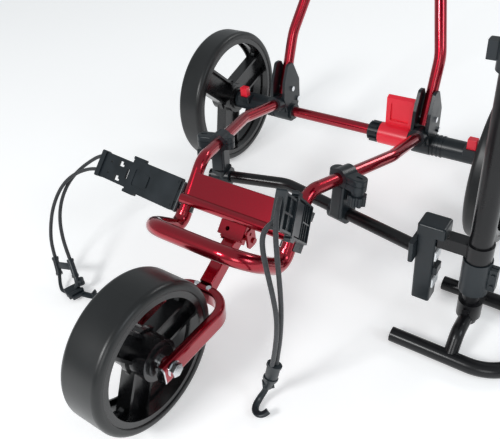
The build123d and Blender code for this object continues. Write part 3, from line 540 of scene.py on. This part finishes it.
# How far out and how high each ring of the slab is, as shares of its half sizes.
BLANK_RINGS = [(0.86, -1.0), (0.97, -0.8), (1.0, -0.35), (1.0, 0.1), (0.97, 0.4), (0.88, 0.56)]
BLANK_TAPER = 0.35
VOXEL = 0.005
CLOTH_FRAMES = 20
SWELL_CAP = 0.012

SEW_LINES = (-0.052, 0.052)
SEW_WIDTH, SEW_DEPTH, SEW_FADE = 0.004, 0.0055, 0.03
SEAM_HEIGHT, SEAM_WIDTH, SEAM_PULL = 0.012, 0.003, 0.012
WRINKLE_SCALE, WRINKLE_DEPTH = 24, 0.0006
BASE_GAP, TOP_ROOM = 0.0002, 0.003

PIPING_RADIUS = 0.0026
PIPING_STEPS, PIPING_SIDES = 160, 10
# The share of its radius by which the piping's middle stands off the cushion's side.
PIPING_PROUD = 0.45
PIPING_SMOOTHINGS = 6


def heading_vector(angle):
    return Vector((math.cos(angle), math.sin(angle), 0))


def outline_point(half_x, half_y, corner, share):
    """Point at a share of the way round a rounded rectangle's outline."""
    straight_x, straight_y = 2 * (half_x - corner), 2 * (half_y - corner)
    arc = math.pi * corner / 2
    travel = share * (2 * straight_x + 2 * straight_y + 4 * arc)
    place = Vector((-half_x + corner, -half_y, 0))
    heading = 0.0
    for run in (straight_x, straight_y, straight_x, straight_y):
        if travel <= run:
            return place + heading_vector(heading) * travel
        place = place + heading_vector(heading) * run
        travel -= run
        centre = place + heading_vector(heading + math.pi / 2) * corner
        if travel <= arc:
            return centre + heading_vector(heading - math.pi / 2 + travel / corner) * corner
        travel -= arc
        heading += math.pi / 2
        place = centre + heading_vector(heading - math.pi / 2) * corner
    return place


def cushion_blank():
    """Closed slab a little smaller than the finished cushion."""
    half = PAD_HALF - Vector((PAD_INSET, PAD_INSET, 0))
    bm = bmesh.new()
    loops = []
    for scale, height in BLANK_RINGS:
        inward = 1 - (1 - scale) * BLANK_TAPER
        loop = []
        for step in range(BLANK_STEPS):
            flat = outline_point(half.x, half.y, PAD_CORNER, step / BLANK_STEPS)
            place = Vector((flat.x * inward, flat.y * inward, height * half.z))
            loop.append(bm.verts.new(PAD_MIDDLE + place))
        loops.append(loop)
    for low, high in zip(loops, loops[1:]):
        bridge(bm, low, high)
    bm.faces.new(list(reversed(loops[0])))
    bm.faces.new(loops[-1])
    return object_from(bm, "seat_cushion")


def apply_modifiers(piece):
    """Replace the piece's mesh by its evaluated one."""
    graph = bpy.context.evaluated_depsgraph_get()
    finished = bpy.data.meshes.new_from_object(piece.evaluated_get(graph))
    piece.modifiers.clear()
    piece.data = finished


def puff_up(cushion):
    """Inflate the cover by cloth simulation, so that it crowns and pulls in at the sides."""
    settings = cushion.modifiers.new("cloth", "CLOTH").settings
    settings.use_pressure = True
    settings.uniform_pressure_force = 4
    settings.effector_weights.gravity = 0
    settings.quality = 5
    settings.tension_stiffness = 15
    settings.compression_stiffness = 15
    settings.bending_stiffness = 0.6
    scene = bpy.context.scene
    for number in range(1, CLOTH_FRAMES + 1):
        scene.frame_set(number)
    graph = bpy.context.evaluated_depsgraph_get()
    swollen = cushion.evaluated_get(graph).to_mesh()
    moved = []
    for before, after in zip(cushion.data.vertices, swollen.vertices):
        step = after.co - before.co
        moved.append(before.co + step * min(1, SWELL_CAP / max(step.length, 1e-9)))
    cushion.evaluated_get(graph).to_mesh_clear()
    cushion.modifiers.clear()
    for vertex, place in zip(cushion.data.vertices, moved):
        vertex.co = place
    scene.frame_set(1)


def bell(distance, width):
    return math.exp(-(distance / width) ** 2)


def sew_and_settle(cushion):
    """Press in the two sewn channels and the edge seam, and keep the base flat on its plate."""
    for vertex in cushion.data.vertices:
        place = vertex.co
        if place.z > PAD_MIDDLE.z:
            edge = PAD_HALF.y - abs(place.y - PAD_MIDDLE.y)
            fade = min(1, max(0, edge / SEW_FADE))
            for line in SEW_LINES:
                place.z -= SEW_DEPTH * bell(place.x - PAD_MIDDLE.x - line, SEW_WIDTH) * fade
        wrinkle = noise.noise(place * WRINKLE_SCALE) * WRINKLE_DEPTH
        place.z = max(PAD_LOW.z + BASE_GAP, min(PAD_HIGH.z + TOP_ROOM, place.z + wrinkle))
        pull = 1 - SEAM_PULL * bell(place.z - PAD_LOW.z - SEAM_HEIGHT, SEAM_WIDTH)
        place.x = PAD_MIDDLE.x + (place.x - PAD_MIDDLE.x) * pull
        place.y = PAD_MIDDLE.y + (place.y - PAD_MIDDLE.y) * pull
    cushion.data.update()


def add_cushion(material):
    """Padded seat in a cover with two sewn channels."""
    cushion = cushion_blank()
    remesh = cushion.modifiers.new("remesh", "REMESH")
    remesh.mode = "VOXEL"
    remesh.voxel_size = VOXEL
    apply_modifiers(cushion)
    puff_up(cushion)
    subdivide = cushion.modifiers.new("smooth", "SUBSURF")
    subdivide.levels = subdivide.render_levels = 1
    apply_modifiers(cushion)
    sew_and_settle(cushion)
    smooth_faces(cushion)
    cushion.data.materials.clear()
    cushion.data.materials.append(material)
    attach(cushion, "seat")
    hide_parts("seat_pad")
    return cushion


def piping_line(cushion):
    """Closed line of points round the cushion, found on its side at the seam's height."""
    skin = BVHTree.FromObject(cushion, bpy.context.evaluated_depsgraph_get())
    seam = Vector((PAD_MIDDLE.x, PAD_MIDDLE.y, PAD_LOW.z + SEAM_HEIGHT))
    line = []
    for step in range(PIPING_STEPS):
        flat = outline_point(PAD_HALF.x, PAD_HALF.y, PAD_CORNER, step / PIPING_STEPS)
        outward = flat.normalized()
        touch = skin.ray_cast(seam + flat * 1.2, -outward)[0] or seam + flat * 0.97
        line.append(touch + outward * PIPING_RADIUS * PIPING_PROUD)
    for _ in range(PIPING_SMOOTHINGS):
        line = [
            (line[i - 1] + line[i] * 2 + line[(i + 1) % PIPING_STEPS]) / 4
            for i in range(PIPING_STEPS)
        ]
    return line


def add_piping(cushion, material):
    """Welt cord sewn round the cushion's lower edge, lying against its side all the way."""
    line = piping_line(cushion)
    bm = bmesh.new()
    rings = []
    for step, centre in enumerate(line):
        along = (line[(step + 1) % PIPING_STEPS] - line[step - 1]).normalized()
        outward = along.cross(UP)
        ring = []
        for side in range(PIPING_SIDES):
            angle = 2 * math.pi * side / PIPING_SIDES
            offset = outward * math.cos(angle) + UP * math.sin(angle)
            ring.append(bm.verts.new(centre + offset * PIPING_RADIUS))
        rings.append(ring)
    for i in range(PIPING_STEPS):
        bridge(bm, rings[(i + 1) % PIPING_STEPS], rings[i])
    piping = object_from(bm, "seat_piping")
    smooth_faces(piping)
    piping.data.materials.append(material)
    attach(piping, "seat")


add_camera()
materials = dress_nodes()
add_cords(materials["cord"], materials["black_plastic"])
add_stage()
add_piping(add_cushion(materials["cover"]), materials["cover"])
